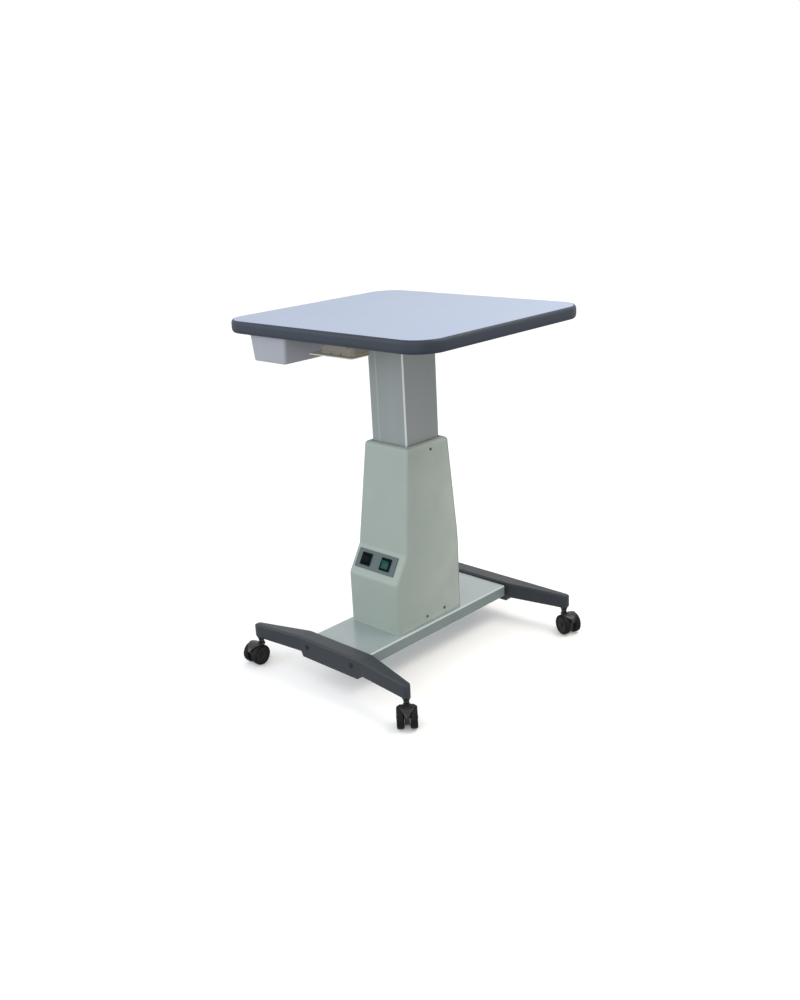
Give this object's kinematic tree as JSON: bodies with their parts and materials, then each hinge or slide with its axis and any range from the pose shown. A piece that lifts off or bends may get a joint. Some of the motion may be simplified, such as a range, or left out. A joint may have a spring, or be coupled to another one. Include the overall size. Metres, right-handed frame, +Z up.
{
  "type": "ophthalmic instrument table",
  "caption": "Motor-lifted instrument table: round-cornered top on a telescoping column, sloped switch panel, pull-out drawer and a beam base with swivel casters.",
  "frame": {"origin": "on the floor under the middle of the base", "axes": "+Z up, the front with the switches faces -Y, +X to the right seen from the front"},
  "size_m": [0.5, 0.5417, 0.6612],
  "materials": {
    "laminate": "satin",
    "edge_band": "matte",
    "board": "raw",
    "column": "satin anodised",
    "steel_parts": "satin",
    "zinc_plate": "zinc plated",
    "cover": "satin",
    "switch_plate": "matte",
    "switch_black": "satin",
    "lens": "clear gloss",
    "beam": "satin",
    "foot": "fine texture",
    "black_plastic": "matte",
    "wheel": "matte",
    "drawer": "satin",
    "outlet": "satin",
    "nylon": "matte",
    "windings": "lacquered"
  },
  "bodies": {
    "base": {"base_beam": "beam", "front_foot": "foot", "rear_foot": "foot", "front_foot_bolt_left": "steel_parts", "front_foot_bolt_right": "steel_parts", "rear_foot_bolt_left": "steel_parts", "rear_foot_bolt_right": "steel_parts", "fixed_column": "zinc_plate", "upper_glide": "nylon", "actuator_bracket": "zinc_plate", "lower_pin": "steel_parts", "actuator_gearbox": "black_plastic", "actuator_motor": "black_plastic", "actuator_tube": "column", "transformer": "windings", "control_box": "black_plastic", "mains_inlet": "switch_black", "cover_front": "cover", "cover_rear": "cover", "switch_panel": "switch_plate", "lift_switch": "switch_black", "power_switch": "switch_black", "front_left_stem": "steel_parts", "front_right_stem": "steel_parts", "rear_right_stem": "steel_parts", "rear_left_stem": "steel_parts"},
    "lift": {"moving_column": "column", "lower_glide": "nylon", "head_plate": "zinc_plate", "upper_pin": "steel_parts", "push_rod": "steel_parts", "table_board": "board", "table_laminate": "laminate", "edge_band": "edge_band", "drawer_runner_left": "zinc_plate", "drawer_runner_right": "zinc_plate", "outlet_box": "outlet", "outlet_lid": "drawer"},
    "drawer": {"accessory_drawer": "drawer"},
    "lead_screw_spindle": {"lead_screw": "steel_parts"},
    "lift_rocker_button": {"lift_rocker": "switch_black"},
    "power_rocker_button": {"power_rocker": "lens"},
    "front_left_caster": {"front_left_hood": "black_plastic", "front_left_axle": "steel_parts"},
    "front_left_wheel_a": {"front_left_wheel_a": "wheel"},
    "front_left_wheel_b": {"front_left_wheel_b": "wheel"},
    "front_right_caster": {"front_right_hood": "black_plastic", "front_right_axle": "steel_parts"},
    "front_right_wheel_a": {"front_right_wheel_a": "wheel"},
    "front_right_wheel_b": {"front_right_wheel_b": "wheel"},
    "rear_right_caster": {"rear_right_hood": "black_plastic", "rear_right_axle": "steel_parts"},
    "rear_right_wheel_a": {"rear_right_wheel_a": "wheel"},
    "rear_right_wheel_b": {"rear_right_wheel_b": "wheel"},
    "rear_left_caster": {"rear_left_hood": "black_plastic", "rear_left_axle": "steel_parts"},
    "rear_left_wheel_a": {"rear_left_wheel_a": "wheel"},
    "rear_left_wheel_b": {"rear_left_wheel_b": "wheel"}
  },
  "joints": [
    {"name": "lift", "type": "slide", "parent": "base", "child": "lift", "axis": [0, 0, 1], "range_m": [-0.035, 0.165]},
    {"name": "drawer", "type": "slide", "parent": "lift", "child": "drawer", "axis": [0, -1, 0], "range_m": [0, 0.1]},
    {"name": "lead_screw", "type": "hinge", "parent": "base", "child": "lead_screw_spindle", "pos_m": [0, 0.016, 0.1475], "axis": [0, 0, 1], "continuous": true},
    {"name": "lift_rocker", "type": "hinge", "parent": "base", "child": "lift_rocker_button", "pos_m": [-0.028, -0.09474, 0.20701], "axis": [1, 0, 0], "range_deg": [-8, 8], "stiffness_Nm_per_rad": 0.1},
    {"name": "power_rocker", "type": "hinge", "parent": "base", "child": "power_rocker_button", "pos_m": [0.022, -0.09474, 0.20701], "axis": [1, 0, 0], "range_deg": [-16, 0]},
    {"name": "front_left_swivel", "type": "hinge", "parent": "base", "child": "front_left_caster", "pos_m": [-0.194, -0.233, 0.0422], "axis": [0, 0, 1], "continuous": true},
    {"name": "front_left_roll_a", "type": "hinge", "parent": "front_left_caster", "child": "front_left_wheel_a", "pos_m": [-0.19348, -0.24799, 0.02], "axis": [0.9994, 0.0349, 0], "continuous": true},
    {"name": "front_left_roll_b", "type": "hinge", "parent": "front_left_caster", "child": "front_left_wheel_b", "pos_m": [-0.19348, -0.24799, 0.02], "axis": [0.9994, 0.0349, 0], "continuous": true},
    {"name": "front_right_swivel", "type": "hinge", "parent": "base", "child": "front_right_caster", "pos_m": [0.194, -0.233, 0.0422], "axis": [0, 0, 1], "continuous": true},
    {"name": "front_right_roll_a", "type": "hinge", "parent": "front_right_caster", "child": "front_right_wheel_a", "pos_m": [0.20442, -0.24379, 0.02], "axis": [0.7193, 0.6947, 0], "continuous": true},
    {"name": "front_right_roll_b", "type": "hinge", "parent": "front_right_caster", "child": "front_right_wheel_b", "pos_m": [0.20442, -0.24379, 0.02], "axis": [0.7193, 0.6947, 0], "continuous": true},
    {"name": "rear_right_swivel", "type": "hinge", "parent": "base", "child": "rear_right_caster", "pos_m": [0.194, 0.233, 0.0422], "axis": [0, 0, 1], "continuous": true},
    {"name": "rear_right_roll_a", "type": "hinge", "parent": "rear_right_caster", "child": "rear_right_wheel_a", "pos_m": [0.208, 0.22762, 0.02], "axis": [0.3584, 0.9336, 0], "continuous": true},
    {"name": "rear_right_roll_b", "type": "hinge", "parent": "rear_right_caster", "child": "rear_right_wheel_b", "pos_m": [0.208, 0.22762, 0.02], "axis": [0.3584, 0.9336, 0], "continuous": true},
    {"name": "rear_left_swivel", "type": "hinge", "parent": "base", "child": "rear_left_caster", "pos_m": [-0.194, 0.233, 0.0422], "axis": [0, 0, 1], "continuous": true},
    {"name": "rear_left_roll_a", "type": "hinge", "parent": "rear_left_caster", "child": "rear_left_wheel_a", "pos_m": [-0.2015, 0.24599, 0.02], "axis": [-0.866, -0.5, 0], "continuous": true},
    {"name": "rear_left_roll_b", "type": "hinge", "parent": "rear_left_caster", "child": "rear_left_wheel_b", "pos_m": [-0.2015, 0.24599, 0.02], "axis": [-0.866, -0.5, 0], "continuous": true}
  ],
  "couplings": [
    {"joint": "lead_screw", "follows": "lift", "rad_per_m": 1047.2}
  ]
}
